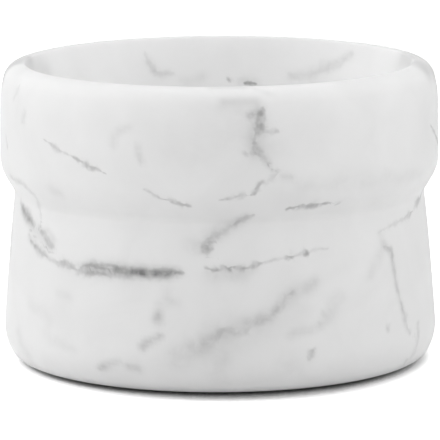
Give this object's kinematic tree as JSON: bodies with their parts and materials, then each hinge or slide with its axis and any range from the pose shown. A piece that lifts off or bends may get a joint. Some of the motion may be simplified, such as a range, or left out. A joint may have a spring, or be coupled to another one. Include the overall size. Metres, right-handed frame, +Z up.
{
  "type": "salt cellar",
  "caption": "Open salt cellar of turned stone: flared foot, narrow waist and wide straight collar round a smooth concave bowl, standing on small soft pads.",
  "frame": {"origin": "centre of the circle that the pads stand on, on the table plane, under the middle of the bowl", "axes": "+Z up along the axis the stone is turned about, -Y towards the viewer of the picture, +X to that viewer's right"},
  "size_m": [0.08, 0.08, 0.0544],
  "materials": {
    "marble": "honed white marble with grey veins, a faint soft sheen",
    "pad_rubber": "matt grey rubber"
  },
  "bodies": {
    "root": {"bowl": "marble", "foot_pad_front_left": "pad_rubber", "foot_pad_front_right": "pad_rubber", "foot_pad_back_left": "pad_rubber", "foot_pad_back_right": "pad_rubber"}
  },
  "joints": []
}
